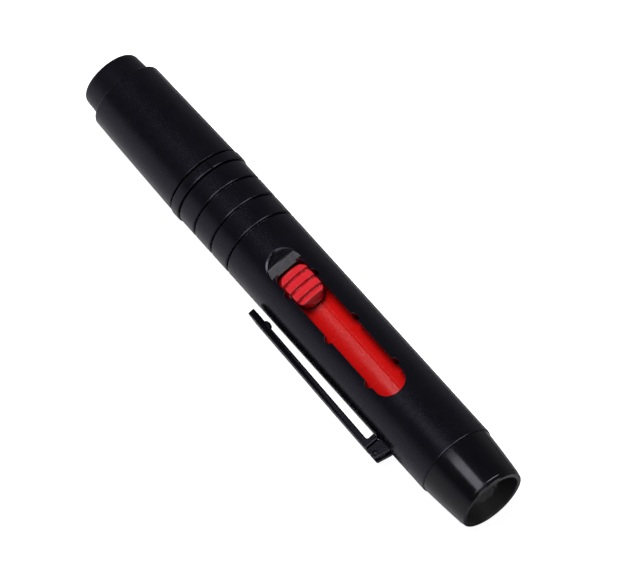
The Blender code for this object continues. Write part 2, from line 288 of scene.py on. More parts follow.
class Look:
    """A Principled material with short ways to add procedural nodes."""

    def __init__(self, name, **values):
        self.material = bpy.data.materials.new(name)
        self.material.use_nodes = True
        self.nodes = self.material.node_tree.nodes
        self.links = self.material.node_tree.links
        self.shader = self.nodes["Principled BSDF"]
        for key, value in values.items():
            socket = self.shader.inputs[key.replace("_", " ")]
            socket.default_value = (*value, 1) if isinstance(value, tuple) and len(value) == 3 else value
        self.place = self.nodes.new("ShaderNodeTexCoord").outputs["Object"]
        self.normal = None

    def noise(self, scale, detail=4.0, roughness=0.6, stretch=None):
        made = self.nodes.new("ShaderNodeTexNoise")
        made.inputs["Scale"].default_value = scale
        made.inputs["Detail"].default_value = detail
        made.inputs["Roughness"].default_value = roughness
        place = self.place
        if stretch:
            mapping = self.nodes.new("ShaderNodeMapping")
            mapping.inputs["Scale"].default_value = stretch
            self.links.new(place, mapping.inputs["Vector"])
            place = mapping.outputs["Vector"]
        self.links.new(place, made.inputs["Vector"])
        return made.outputs["Fac"]

    def cells(self, scale):
        made = self.nodes.new("ShaderNodeTexVoronoi")
        made.inputs["Scale"].default_value = scale
        self.links.new(self.place, made.inputs["Vector"])
        return made.outputs["Distance"]

    def spread(self, source, low, high, start=0.3, end=0.7):
        """Maps a factor from start..end to low..high."""
        made = self.nodes.new("ShaderNodeMapRange")
        made.inputs["From Min"].default_value = start
        made.inputs["From Max"].default_value = end
        made.inputs["To Min"].default_value = low
        made.inputs["To Max"].default_value = high
        self.links.new(source, made.inputs["Value"])
        return made.outputs["Result"]

    def ramp(self, source, *stops):
        made = self.nodes.new("ShaderNodeValToRGB")
        elements = made.color_ramp.elements
        while len(elements) < len(stops):
            elements.new(0.5)
        for element, (position, colour) in zip(elements, stops):
            element.position = position
            element.color = (*colour, 1)
        self.links.new(source, made.inputs["Fac"])
        return made.outputs["Color"]

    def to(self, socket, source):
        self.links.new(source, self.shader.inputs[socket])
        return self

    def bump(self, source, height):
        """Adds a bump of that height in metres on top of those before."""
        made = self.nodes.new("ShaderNodeBump")
        made.inputs["Strength"].default_value = 1.0
        made.inputs["Distance"].default_value = height
        self.links.new(source, made.inputs["Height"])
        if self.normal:
            self.links.new(self.normal, made.inputs["Normal"])
        self.normal = made.outputs["Normal"]
        self.links.new(self.normal, self.shader.inputs["Normal"])
        return self


def satin_black(name="satin_black", rough=0.26):
    look = Look(name, IOR=1.5, Specular_Tint=(0.80, 0.78, 1.0))
    darker, paler = (0.0036, 0.0034, 0.0054), (0.0050, 0.0048, 0.0070)
    look.to("Base Color", look.ramp(look.noise(260), (0.35, darker), (0.7, paler)))
    look.to("Roughness", look.spread(look.noise(900, 5), rough - 0.02, rough + 0.03))
    look.bump(look.noise(2600, 2), 0.0000012)
    return look.material


def gloss_black():
    look = Look("gloss_black", IOR=1.5, Specular_Tint=(0.94, 0.93, 1.0))
    darker, paler = (0.0030, 0.0028, 0.0042), (0.0045, 0.0043, 0.0060)
    look.to("Base Color", look.ramp(look.noise(200), (0.3, darker), (0.7, paler)))
    look.to("Roughness", look.spread(look.noise(1100, 5), 0.15, 0.22))
    look.bump(look.noise(900, 2), 0.000003)
    return look.material


def bore_black():
    look = Look("bore_black", IOR=1.5)
    darker, paler = (0.005, 0.0045, 0.006), (0.008, 0.0075, 0.009)
    look.to("Base Color", look.ramp(look.noise(300), (0.3, darker), (0.7, paler)))
    look.to("Roughness", look.spread(look.noise(900, 5), 0.5, 0.65))
    return look.material


def red_plastic(name, dark, light, rough):
    look = Look(name, IOR=1.48)
    look.to("Base Color", look.ramp(look.noise(420, 3), (0.3, dark), (0.7, light)))
    look.to("Roughness", look.spread(look.noise(1500, 4), rough - 0.06, rough + 0.08))
    look.bump(look.noise(4200, 3), 0.000006)
    return look.material


def rubber():
    look = Look("black_rubber", IOR=1.5)
    darker, paler = (0.012, 0.012, 0.012), (0.03, 0.03, 0.03)
    look.to("Base Color", look.ramp(look.noise(700), (0.3, darker), (0.7, paler)))
    look.to("Roughness", look.spread(look.noise(1800), 0.62, 0.85))
    look.bump(look.noise(3500, 6), 0.00002)
    return look.material


def dark_steel():
    look = Look("dark_steel", Metallic=1.0)
    grain = look.noise(1500, 5)
    look.to("Base Color", look.ramp(grain, (0.3, (0.03, 0.03, 0.032)), (0.7, (0.06, 0.06, 0.064))))
    look.to("Roughness", look.spread(grain, 0.25, 0.4))
    return look.material


def steel():
    look = Look("steel", Metallic=1.0)
    grain = look.noise(1200, 6, stretch=(0.06, 1, 1))
    look.to("Base Color", look.ramp(grain, (0.3, (0.42, 0.42, 0.44)), (0.7, (0.62, 0.62, 0.64))))
    look.to("Roughness", look.spread(grain, 0.22, 0.4))
    look.bump(grain, 0.000004)
    return look.material


def hair():
    look = Look("brush_hair", IOR=1.5)
    tint = look.noise(2600, 3, stretch=(0.08, 1, 1))
    look.to("Base Color", look.ramp(tint, (0.3, (0.008, 0.007, 0.008)), (0.7, (0.022, 0.018, 0.019))))
    look.to("Roughness", look.spread(tint, 0.35, 0.6))
    return look.material


def sponge():
    look = Look("carbon_sponge", IOR=1.4)
    pores = look.cells(2600)
    # Painted shade: the base colour darkens towards the bottom of each pore that the bump sinks, standing in
    # for the shade inside it.
    look.to("Base Color", look.ramp(pores, (0.1, (0.003, 0.003, 0.003)), (0.55, (0.022, 0.022, 0.022))))
    look.to("Roughness", look.spread(pores, 1.0, 0.85, 0.1, 0.6))
    look.bump(pores, 0.00012)
    return look.material


def chamois():
    look = Look("chamois", IOR=1.4, Sheen_Weight=0.6, Sheen_Roughness=0.5)
    nap = look.noise(5200, 6, 0.75)
    look.to("Base Color", look.ramp(nap, (0.3, (0.012, 0.012, 0.013)), (0.7, (0.045, 0.045, 0.048))))
    look.to("Roughness", look.spread(nap, 0.95, 0.8))
    look.bump(nap, 0.00006)
    return look.material


# ---------------------------------------------------------------- pieces


def finish_piece(made, look, body, record_slot, *nodes):
    """Takes a piece from millimetres in the pen's axes into the frame, and gives it its body and material."""
    made.data.transform(PEN @ Matrix.Scale(MM, 4))
    made.data.materials.append(look)
    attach(made, body)
    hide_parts(*nodes)
    return made


def barrel_outline():
    """Front to rear along the outside, then up the bore."""
    points = [(BARREL_FRONT, SOCKET_BORE, 0.1), (BARREL_FRONT, BODY_R, 0.3)]
    for centre in reversed(GROOVES):
        points += [
            (centre + 0.3, BODY_R, 0.12),
            (centre + GROOVE_HALF, BODY_R - GROOVE_DEPTH, 0.08),
            (centre - GROOVE_HALF, BODY_R - GROOVE_DEPTH, 0.08),
            (centre - 0.32, BODY_R, 0.3),
        ]
    points += [
        (BARREL_REAR, BODY_R, 0.2),
        (BARREL_REAR, BARREL_BORE, 0.1),
        (SOCKET_REAR, BARREL_BORE, 0.0),
        (SOCKET_REAR, SOCKET_BORE, 0.0),
    ]
    return fillet(points, steps=6)


def slot_outline():
    """The slot with its notches, anticlockwise."""
    half = SLOT_HALF

    def edge(sign, centres):
        points = []
        for centre in centres:
            for i in range(9):
                t = math.pi * i / 8
                deep = NOTCH_DEPTH * math.sin(t) ** 0.8
                points.append((centre + sign * NOTCH_HALF * math.cos(t), sign * (half + deep)))
        return points

    def corner(a, y, radius, start):
        turns = [math.radians(start + 9 * i) for i in range(11)]
        return [(a + radius * math.cos(t), y + radius * math.sin(t)) for t in turns]

    front, rear = SLOT_FRONT_CORNER, SLOT_REAR_CORNER
    points = corner(SLOT_FRONT - front, half - front, front, 0)
    points += edge(1, reversed(NOTCHES))
    points += corner(SLOT_REAR + rear, half - rear, rear, 90)
    points += corner(SLOT_REAR + rear, rear - half, rear, 180)
    points += edge(-1, NOTCHES)
    points += corner(SLOT_FRONT - front, front - half, front, 270)
    return points


def half_moon():
    """The recess's outline, anticlockwise, carried past its straight edge."""
    depth, past = RECESS_EDGE - RECESS_APEX, RECESS_EDGE + 0.6
    arc = [math.pi * i / 40 for i in range(41)]
    curve = [(RECESS_EDGE - depth * math.sin(t), RECESS_R * math.cos(t)) for t in arc]
    return [(past, RECESS_R), *curve, (past, -RECESS_R)]


def recess_cutter():
    """A half-moon pocket with a bevelled edge, and a flat floor that slopes down towards the slot."""
    mouth = offset(half_moon(), -(RECESS_BEVEL + RECESS_DRAFT))
    made = surface_cutter("recess_cut", mouth, RECESS_BEVEL, RECESS_DRAFT, low=6.1, steps=1)
    above = [
        (RECESS_APEX - 1, RECESS_FLOOR),
        (RAMP_START, RECESS_FLOOR),
        (RECESS_EDGE, RAMP_FLOOR - 0.1),
        (RECESS_EDGE, 12),
        (RECESS_APEX - 1, 12),
    ]
    floor = mesh_object("recess_floor", lofted([[(a, y, z) for a, z in above] for y in (-6, 6)]))
    return combine(made, [floor], "INTERSECT")


def clip_side(points):
    """(a, height off the axis, across) to the pen's axes, on the clip's side."""
    return [(a, -height, across) for a, height, across in points]


def side_plate(name, outline, low, high, round_edge, warp=None):
    """A plate seen from the pen's side, between two places across the clip's width."""
    middle, half = (low + high) / 2, (high - low) / 2
    loops = []
    for points, across in plate(outline, half, round_edge):
        loop = [(a, h, middle + across * (warp(a) if warp else 1)) for a, h in points]
        loops.append(clip_side(loop))
    return mesh_object(name, lofted(loops))


EAR_REAR = 88.95
EAR_FRONT = 91.8
EAR_ROOT = 6.9
EAR_REACH = 10.75
EAR_SLOPE = 0.68
EAR_HALF = 1.6
EAR_THICKNESS = 0.75
PIN_A = 90.4
PIN_OFFSET = 9.95
PIN_R = 0.4


def circle(centre, radius, count=48):
    turns = [2 * math.pi * (i + 0.3) / count for i in range(count)]
    return [(centre[0] + radius * math.cos(t), centre[1] + radius * math.sin(t)) for t in turns]


def pin_hole(radius):
    rim = circle((PIN_A, PIN_OFFSET), radius)
    loops = [clip_side([(a, h, across) for a, h in rim]) for across in (-4, 4)]
    return mesh_object("pin_hole", lofted(loops))


def barrel():
    made = turned("barrel_fine", barrel_outline())
    ear = fillet(
        [
            (EAR_REAR, EAR_ROOT, 0),
            (EAR_FRONT, EAR_ROOT, 0),
            (EAR_FRONT, EAR_ROOT + 0.9, 0.3),
            (EAR_FRONT - EAR_SLOPE, EAR_REACH, 0.3),
            (EAR_REAR, EAR_REACH, 0.3),
        ]
    )
    inner = EAR_HALF - EAR_THICKNESS
    ears = [side_plate("ear", ear, low, high, 0.1) for low, high in ((inner, EAR_HALF), (-EAR_HALF, -inner))]
    for one in ears:
        combine(one, [pin_hole(PIN_R + 0.04)])
    combine(made, ears, "UNION")
    combine(made, [surface_cutter("slot_cut", slot_outline(), 0.12), recess_cutter()])
    made = weighted(made)
    for face in made.data.polygons:
        a, y, z = face.center
        inside = RECESS_APEX < a < RECESS_EDGE + 0.01 and abs(y) < RECESS_R and z < RECESS_FLOOR + 0.01
        face.material_index = int(inside and z > RAMP_FLOOR - 0.11 and face.normal.z > 0.9)
    return made


def nozzle():
    """The tapered front tube, whose spigot sits in the barrel's socket. Its bore is the second material."""
    spigot = SOCKET_BORE - 0.15
    profile = fillet(
        [
            (LENGTH, MOUTH_BORE, 0.14),
            (LENGTH, MOUTH_R - 0.04, 0.16),
            (NOZZLE_LIP[0] + 0.1, NOZZLE_LIP[1] - 0.07, 0.05),
            (*NOZZLE_LIP, 0.05),
            (*NOZZLE_MIDDLE, 1.5),
            (BARREL_FRONT + 0.02, NOZZLE_R, 0.08),
            (BARREL_FRONT + 0.02, spigot, 0),
            (NOZZLE_REAR, spigot, 0.1),
            (NOZZLE_REAR, 5.6, 0.1),
        ],
        steps=6,
    )
    made = turned("nozzle_fine", profile)
    for face in made.data.polygons:
        x, y, z = face.center
        face.material_index = int(math.hypot(y, z) < MOUTH_BORE + 0.02)
    return made


INDEX_TURN = math.radians(15)
INDEX_DEPTH = 0.3
INDEX_HALF = 0.17


def collar():
    """The ring, with the fine index line cut across it, and a thin lip that closes the gap on either side."""
    middle = (COLLAR_REAR + COLLAR_FRONT) / 2
    lip, lip_r, bore = 0.25, 7.1, 5.2

    def bump(a, r, angle):
        away = (angle + INDEX_TURN + math.pi) % (2 * math.pi) - math.pi
        return r - INDEX_DEPTH * math.exp(-((away * r / INDEX_HALF) ** 2)) if r > lip_r + 0.1 else r

    ring = fillet(
        [
            (COLLAR_FRONT + lip, bore, 0),
            (COLLAR_FRONT + lip, lip_r, 0),
            (COLLAR_FRONT, lip_r, 0),
            (COLLAR_FRONT, COLLAR_R, 0.3),
            (middle, COLLAR_R, 0),
            (COLLAR_REAR + 0.15, COLLAR_R, 0.14),
            (COLLAR_REAR + 0.15, lip_r, 0),
            (COLLAR_REAR - lip, lip_r, 0),
            (COLLAR_REAR - lip, bore, 0),
        ],
        steps=6,
    )
    return turned("collar_fine", ring, FINE_SEGMENTS, bump)


def cap_shell():
    profile = fillet(
        [
            (CAP_MOUTH, CAP_BORE, 0.15),
            (CAP_MOUTH, CAP_MOUTH_R, 0.14),
            (CAP_REAR, CAP_REAR_R, 0.28),
            (CAP_REAR, CAP_BORE, 0),
        ],
        steps=6,
    )
    return turned("cap_fine", profile)


def cap_end():
    """The stepped nub, with the spigot that plugs the cap's rear."""
    spigot, spigot_front, shoulder = CAP_BORE - 0.2, 5.75, NUB_END + 0.18
    profile = fillet(
        [
            (0, 0, 0),
            (0, NUB_TIP_R, 0.9),
            (shoulder, NUB_R, 0.0),
            (shoulder, spigot, 0.0),
            (spigot_front, spigot, 0.1),
            (spigot_front, 0, 0),
        ],
        closed=False,
        steps=8,
    )
    return turned("cap_end_fine", profile)


CARRIER_REAR = 54.5
CARRIER_FRONT = 88.0
CARRIER_R = 5.25
CARRIER_BORE = 4.0
RIDGE_TURN = math.radians(-6)
RIDGE_HEIGHT = 0.05
RIDGE_HALF = 0.16


def carrier():
    """The tube, with a guide flange at its rear and the fine ridge that its mould left along it."""
    flange, flange_r = CARRIER_REAR + 1.5, 5.6

    def bump(a, r, angle):
        away = (angle - RIDGE_TURN + math.pi) % (2 * math.pi) - math.pi
        return r + (RIDGE_HEIGHT * math.exp(-((away * CARRIER_R / RIDGE_HALF) ** 2)) if r > 5 else 0)

    profile = fillet(
        [
            (CARRIER_FRONT, CARRIER_BORE, 0.1),
            (CARRIER_FRONT, CARRIER_R, 0.2),
            (flange + 0.3, CARRIER_R, 0),
            (flange, flange_r, 0.1),
            (CARRIER_REAR, flange_r, 0.1),
            (CARRIER_REAR, CARRIER_BORE, 0.1),
        ]
    )
    return turned("carrier_fine", profile, 2 * SEGMENTS, bump)


BUTTON_REAR = 55.7
BUTTON_FRONT = 63.1
BUTTON_HALF = 2.85
BUTTON_TOP = 8.35
BUTTON_FLOOR = 5.8
BUTTON_ENDS = ((BUTTON_REAR, 1.2), (BUTTON_FRONT, 2.3))
RIBS = (57.1, 59.1, 61.1)
RIB_RISE = 0.6
RIB_DROP = 0.75
RIB_GAP = 0.6


def crown_line():
    """The height of the button's top along it: ribs that rise slowly, drop, and have round crests."""
    line = [(BUTTON_REAR, BUTTON_TOP - 0.3)]
    start = BUTTON_REAR
    for crest in RIBS:
        for step in range(1, 6):
            t = step / 5
            line.append((start + (crest - start) * t, BUTTON_TOP - RIB_RISE * (1 - t**1.2)))
        line.append((crest + 0.22, BUTTON_TOP - RIB_DROP))
        start = crest + RIB_GAP
        line.append((start, BUTTON_TOP - 0.65))
    line += [(BUTTON_FRONT - 0.75, BUTTON_TOP - 0.3), (BUTTON_FRONT, BUTTON_TOP - 1.4)]
    places = np.linspace(BUTTON_REAR, BUTTON_FRONT, 601)
    heights = np.interp(places, [p[0] for p in line], [p[1] for p in line])
    reach = 20
    window = np.exp(-((np.arange(-reach, reach + 1) / 5.0) ** 2))
    padded = np.pad(heights, reach, mode="edge")
    return places, np.convolve(padded, window / window.sum(), mode="valid")


def button():
    """A grid over the button's plan, lifted to its ribbed crown, with walls down to its floor."""
    edge = 0.3
    crown = crown_line()

    def half_width(a):
        for end, radius in BUTTON_ENDS:
            into = abs(a - end)
            if into < radius:
                return BUTTON_HALF - radius + math.sqrt(max(0.0, radius**2 - (radius - into) ** 2))
        return BUTTON_HALF

    def margin(a, y):
        """How far a point is inside the plan."""
        best = min(BUTTON_HALF - abs(y), a - BUTTON_REAR, BUTTON_FRONT - a)
        for end, radius in BUTTON_ENDS:
            along, across = radius - abs(a - end), abs(y) - (BUTTON_HALF - radius)
            if along > 0 and across > 0:
                best = min(best, radius - math.hypot(along, across))
        return max(0.0, best)

    rows, columns = 240, 64
    work = bmesh.new()
    grid, base = [], []
    for i in range(rows + 1):
        ease = 0.5 - 0.5 * math.cos(math.pi * i / rows)
        a = BUTTON_REAR + (BUTTON_FRONT - BUTTON_REAR) * (0.25 * ease + 0.75 * i / rows)
        half = half_width(a)
        top, low = [], []
        for j in range(columns + 1):
            y = -half * math.cos(math.pi * j / columns)
            height = math.sqrt(float(np.interp(a, *crown)) ** 2 - y * y)
            into = min(edge, margin(a, y))
            height -= edge - math.sqrt(edge**2 - (edge - into) ** 2)
            top.append(work.verts.new((a, y, height)))
            low.append(work.verts.new((a, y, BUTTON_FLOOR)))
        grid.append(top)
        base.append(low)
    for i in range(rows):
        for j in range(columns):
            work.faces.new([grid[i][j], grid[i + 1][j], grid[i + 1][j + 1], grid[i][j + 1]])
            work.faces.new([base[i][j], base[i][j + 1], base[i + 1][j + 1], base[i + 1][j]])
        for j in (0, columns):
            work.faces.new([grid[i][j], grid[i + 1][j], base[i + 1][j], base[i][j]])
    for i in (0, rows):
        for j in range(columns):
            work.faces.new([grid[i][j], grid[i][j + 1], base[i][j + 1], base[i][j]])
    return mesh_object("button_fine", work, 50)


CLIP_TIP = 53.65
CLIP_HEEL = 87.55
CLIP_HALF = 1.9
CLIP_THICKNESS = 1.3
CLIP_STANDOFF = 8.87
CLIP_RISE = 0.58
TIP_LENGTH = 1.6
TIP_HALF = 0.3
HEEL_FLOOR = 7.88
TONGUE_FLOOR = 8.15
TONGUE_HALF = 0.55


def clip_inner(a):
    """How far the bar's inner side is from the pen's axis."""
    return CLIP_STANDOFF + CLIP_RISE * (a - CLIP_TIP) / (CLIP_HEEL - CLIP_TIP)


def clip_bump():
    """The dome on the bar that grips a pocket's edge."""
    centre, half, height = 57.7, 0.95, 0.62
    base = clip_inner(centre)
    rise = [(base + 0.6, half)]
    rise += [(base - height * math.sin(t), half * math.cos(t)) for t in np.linspace(0, 1.5, 10)]
    turns = [2 * math.pi * i / 40 for i in range(40)]
    loops = [[(centre + r * math.cos(t), -h, r * math.sin(t)) for t in turns] for h, r in rise]
    return mesh_object("bump", lofted(loops))


def clip():
    """The bar with its heel, the tongue that goes between the ears, and the bump."""

    def warp(a):
        """Narrows the free end to a round one."""
        into = min(1.0, max(0.0, (a - CLIP_TIP) / TIP_LENGTH))
        wider = (CLIP_HALF - TIP_HALF) * math.sqrt(max(0.0, 1 - (1 - into) ** 2))
        return (TIP_HALF + wider) / CLIP_HALF

    stations = [CLIP_TIP + TIP_LENGTH * (1 - math.cos(math.pi / 2 * i / 8)) for i in range(9)]
    end = EAR_REAR - 0.25
    low = [(a, clip_inner(a)) for a in stations]
    low += fillet(
        [
            (86.0, clip_inner(86.0), 0),
            (CLIP_HEEL, clip_inner(CLIP_HEEL), 0.4),
            (CLIP_HEEL, HEEL_FLOOR, 0.1),
            (end, HEEL_FLOOR, 0.1),
            (end, EAR_REACH, 0.15),
            (80, clip_inner(80) + CLIP_THICKNESS, 0),
        ],
        closed=False,
    )
    high = [(a, clip_inner(a) + CLIP_THICKNESS) for a in reversed(stations)]
    made = side_plate("clip_fine", low + high, -CLIP_HALF, CLIP_HALF, 0.2, warp)
    rear, front = CLIP_HEEL + 0.4, EAR_FRONT - 0.5
    tongue = fillet(
        [
            (rear, TONGUE_FLOOR, 0),
            (front, TONGUE_FLOOR, 0.2),
            (front, 9.3, 0.4),
            (front - 0.5, EAR_REACH - 0.35, 0.2),
            (rear, EAR_REACH - 0.1, 0),
        ]
    )
    combine(made, [side_plate("tongue", tongue, -TONGUE_HALF, TONGUE_HALF, 0.1), clip_bump()], "UNION")
    combine(made, [pin_hole(PIN_R + 0.1)])
    return weighted(made)


def clip_pin():
    return side_plate("clip_pin_fine", circle((PIN_A, PIN_OFFSET), PIN_R), -EAR_HALF, EAR_HALF, 0.1)


HAIR_ROOT = 89.2
HAIR_TIP = 110.0
TUFT_ROOT_R = 4.0
TUFT_SPLAY_R = 4.65
TUFT_LIMIT_R = 4.82
GOLDEN_ANGLE = 2.399963


def bristles():
    """A tuft of separate hairs, each a thin tapered tube, that fan out of the ferrule."""
    rng = np.random.default_rng(7)
    count, stations, sides = 1400, 9, 4
    verts, faces = [], []
    for k in range(count):
        ring = math.sqrt((k + 0.5) / count)
        angle = GOLDEN_ANGLE * k
        root_r = TUFT_ROOT_R * ring
        splay = TUFT_SPLAY_R * ring
        end = HAIR_TIP - 3.4 * ring**3 + rng.uniform(-0.5, 0.15)
        bend = rng.uniform(-0.5, 0.5, 2) * 0.5
        thick = rng.uniform(0.05, 0.075)
        first = len(verts)
        for i in range(stations):
            t = i / (stations - 1)
            a = HAIR_ROOT + (end - HAIR_ROOT) * t
            grow = min(1.0, t / 0.5)
            r = root_r + (splay - root_r) * grow * grow * (3 - 2 * grow)
            y = r * math.cos(angle) + bend[0] * t**3
            z = r * math.sin(angle) + bend[1] * t**3
            far = math.hypot(y, z)
            if far > TUFT_LIMIT_R:
                y, z = y * TUFT_LIMIT_R / far, z * TUFT_LIMIT_R / far
            width = thick * (1 - 0.75 * t**3)
            for s in range(sides):
                turn = 2 * math.pi * s / sides
                verts.append((a, y + width * math.cos(turn), z + width * math.sin(turn)))
        for i in range(stations - 1):
            for s in range(sides):
                one, two = first + i * sides + s, first + i * sides + (s + 1) % sides
                faces.append((one, two, two + sides, one + sides))
        faces.append(tuple(range(first + sides - 1, first - 1, -1)))
        last = first + (stations - 1) * sides
        faces.append(tuple(range(last, last + sides)))
    mesh = bpy.data.meshes.new("bristles_fine")
    mesh.from_pydata(verts, [], faces)
    mesh.shade_smooth()
    made = bpy.data.objects.new("bristles_fine", mesh)
    bpy.context.scene.collection.objects.link(made)
    return made


def ferrule():
    """A cup round the hair, and the plug behind it that sits in the carrier."""
    front, rear, seat, floor_a = 92.0, 80.0, 88.25, 88.9
    cup_r, cup_bore, plug_r, plug_bore = 4.9, 4.3, 3.8, 1.5
    profile = fillet(
        [
            (front, cup_bore, 0.1),
            (front, cup_r, 0.15),
            (seat, cup_r, 0.15),
            (seat, plug_r, 0),
            (rear, plug_r, 0.2),
            (rear, plug_bore, 0.1),
            (floor_a, plug_bore, 0),
            (floor_a, cup_bore, 0),
        ]
    )
    return turned("ferrule_fine", profile, INNER_SEGMENTS)


def stem_plug():
    """The plug in the barrel's rear, its boss that the collar turns on, and the hole for the stem."""
    front, shoulder, rear, thread_end = 42.0, 31.0, 28.3, 38.0
    plug_r, boss_r, stem_bore, vent_bore = 5.85, 5.0, 2.7, 1.0
    profile = fillet(
        [
            (front, vent_bore, 0.1),
            (front, plug_r, 0.5),
            (shoulder, plug_r, 0.1),
            (shoulder, boss_r, 0),
            (rear, boss_r, 0.15),
            (rear, stem_bore, 0.1),
            (thread_end, stem_bore, 0),
            (thread_end, vent_bore, 0),
        ]
    )
    return turned("stem_plug_fine", profile, INNER_SEGMENTS)


RING_PLACES = (25.5, 22.0)
RING_R = 5.45
RING_SECTION_R = 0.29
GUIDE_R = 5.55
SEAT_R = 5.05


def tip_stem():
    """The stem behind the plug, with a round-bottomed seat for each friction ring."""
    front, guide_front, guide_rear, rod_rear, rear = 36.0, 28.0, 20.0, 14.0, 10.75
    thread_r, rod_r, pin_r = 2.5, 3.0, 1.3
    points = [(front, 0, 0), (front, thread_r, 0.3)]
    points += [(guide_front, thread_r, 0.1), (guide_front, GUIDE_R, 0.2)]
    for centre in RING_PLACES:
        points += [
            (centre + 0.55, GUIDE_R, 0.12),
            (centre + 0.45, SEAT_R, 0.15),
            (centre - 0.45, SEAT_R, 0.15),
            (centre - 0.55, GUIDE_R, 0.12),
        ]
    points += [
        (guide_rear, GUIDE_R, 0.35),
        (guide_rear, rod_r, 0.3),
        (rod_rear, rod_r, 0.3),
        (rod_rear, pin_r, 0.1),
        (rear, pin_r, 0.15),
        (rear, 0, 0),
    ]
    return turned("tip_stem_fine", fillet(points, closed=False, steps=6), INNER_SEGMENTS)


def friction_ring(name, centre):
    turns = [2 * math.pi * i / 20 for i in range(20)]
    section = [(centre + RING_SECTION_R * math.sin(t), RING_R + RING_SECTION_R * math.cos(t)) for t in turns]
    return turned(name, section, INNER_SEGMENTS)


def friction_ring_front():
    return friction_ring("front_ring_fine", RING_PLACES[0])


def friction_ring_rear():
    return friction_ring("rear_ring_fine", RING_PLACES[1])


def tip_neck():
    """A short bellows, so that the tip tilts on a lens."""
    rear, front, bore, crest = 12.05, 13.7, 1.55, 12.5
    radius, wave_height, pitch = 2.95, 0.32, 0.8
    places = np.linspace(rear, front, 34)
    wave = [(a, radius + wave_height * math.cos(2 * math.pi * (a - crest) / pitch)) for a in places]
    return turned("tip_neck_fine", [*wave, (front, bore), (rear, bore)], INNER_SEGMENTS)


def tip_pad_holder():
    """A shallow dish that carries the pad, with a hub behind it for the stem's pin."""
    rear, front, pin_end, pin_bore = 9.95, 11.7, 10.4, 1.5
    profile = [
        (pin_end, 0, 0),
        (pin_end, pin_bore, 0.05),
        (front, pin_bore, 0.1),
        (front, 2.6, 0.3),
        (front - 0.8, 4.3, 0.4),
        (rear, 4.6, 0.15),
        (rear, 0, 0),
    ]
    return turned("tip_pad_holder_fine", fillet(profile, closed=False, steps=6), INNER_SEGMENTS)


def tip_pad():
    """A dished pad of soft leather, crowned at the rim, and drawn in where it is glued to its holder."""
    rng = np.random.default_rng(11)
    phases = rng.uniform(0, 2 * math.pi, 6)

    def bump(a, r, angle):
        ripple = sum(math.sin((3 + 2 * k) * angle + phases[k]) / (2 + k) for k in range(6))
        return r + 0.012 * ripple * r / 4.8

    rim = [(9.85, 4.45), (9.7, 4.66), (9.45, 4.77), (9.2, 4.76), (8.95, 4.64), (8.76, 4.42), (8.68, 4.1)]
    rim += [(8.68, 3.7), (8.72, 3.2), (8.78, 2.6), (8.84, 1.9), (8.88, 1.1), (8.9, 0.5)]
    return turned("tip_pad_fine", [(9.85, 0), *rim, (8.9, 0)], 160, bump, 60)


def sponge_cup():
    rear, floor_a, front = 5.95, 6.6, 8.2
    outer, inner = 5.75, 5.25
    profile = [
        (floor_a, 0, 0),
        (floor_a, inner, 0.25),
        (front, inner, 0.12),
        (front, outer, 0.12),
        (rear, outer, 0.3),
        (rear, 0, 0),
    ]
    return turned("sponge_cup_fine", fillet(profile, closed=False, steps=6), INNER_SEGMENTS)


def carbon_sponge():
    """A disc of foam with a soft edge, pitted with pores and low in the middle from use."""
    rng = np.random.default_rng(5)
    radius, top, floor_a = 5.0, 8.38, 6.82
    soft, wear = 0.35, 0.08
    pore_count = 420
    pores = rng.uniform(-radius, radius, (pore_count, 2))
    depths = rng.uniform(0.03, 0.10, pore_count)
    widths = rng.uniform(0.10, 0.22, pore_count)
    rings, sectors = 60, 200
    work = bmesh.new()
    skins = []
    for i in range(1, rings + 1):
        r = radius * i / rings
        ring = []
        for j in range(sectors):
            angle = 2 * math.pi * j / sectors
            y, z = r * math.cos(angle), r * math.sin(angle)
            near = ((pores[:, 0] - y) ** 2 + (pores[:, 1] - z) ** 2) / widths**2
            pit = float((depths * np.exp(-near)).max())
            into = min(soft, radius - r)
            edge = soft - math.sqrt(soft**2 - (soft - into) ** 2)
            worn = wear * math.exp(-((r / 2.5) ** 2))
            ring.append(work.verts.new((top - edge - pit - worn, y, z)))
        skins.append(ring)
    centre = work.verts.new((top - 0.1, 0, 0))
    turns = [2 * math.pi * j / sectors for j in range(sectors)]
    base = [work.verts.new((floor_a, radius * math.cos(t), radius * math.sin(t))) for t in turns]
    skins.append(base)
    for j in range(sectors):
        k = (j + 1) % sectors
        work.faces.new([centre, skins[0][j], skins[0][k]])
        for one, two in zip(skins, skins[1:]):
            work.faces.new([one[j], two[j], two[k], one[k]])
    bmesh.ops.triangulate(work, faces=[work.faces.new(base)])
    return mesh_object("carbon_sponge_fine", work, 60)


def detent_spring():
    """A flat spring round the button's peg, with a nose on each side for the notches."""
    middle, nose, body = NOTCHES[0], SLOT_HALF - 0.05, SLOT_HALF - 0.45
    level, half_thickness, hole_half = 5.5, 0.14, 1.45
    side = [(2.13, body, 0.3), (0.6, body, 0.3), (0.28, nose, 0.2)]
    side += [(-a, y, r) for a, y, r in reversed(side)]
    outline = [(middle + a, y, r) for a, y, r in side]
    outline += [(middle + a, -y, r) for a, y, r in reversed(side)]
    sheet = plate(fillet(outline), half_thickness, 0.04)
    loops = [[(a, y, level + up) for a, y in points] for points, up in sheet]
    made = mesh_object("detent_spring_fine", lofted(loops))
    corners = ((1, 1), (-1, 1), (-1, -1), (1, -1))
    square = fillet([(middle + a * hole_half, y * hole_half, 0.5) for a, y in corners])
    hole = [[(a, y, z) for a, y in square] for z in (level - 1, level + 1)]
    return weighted(combine(made, [mesh_object("spring_hole", lofted(hole))]))


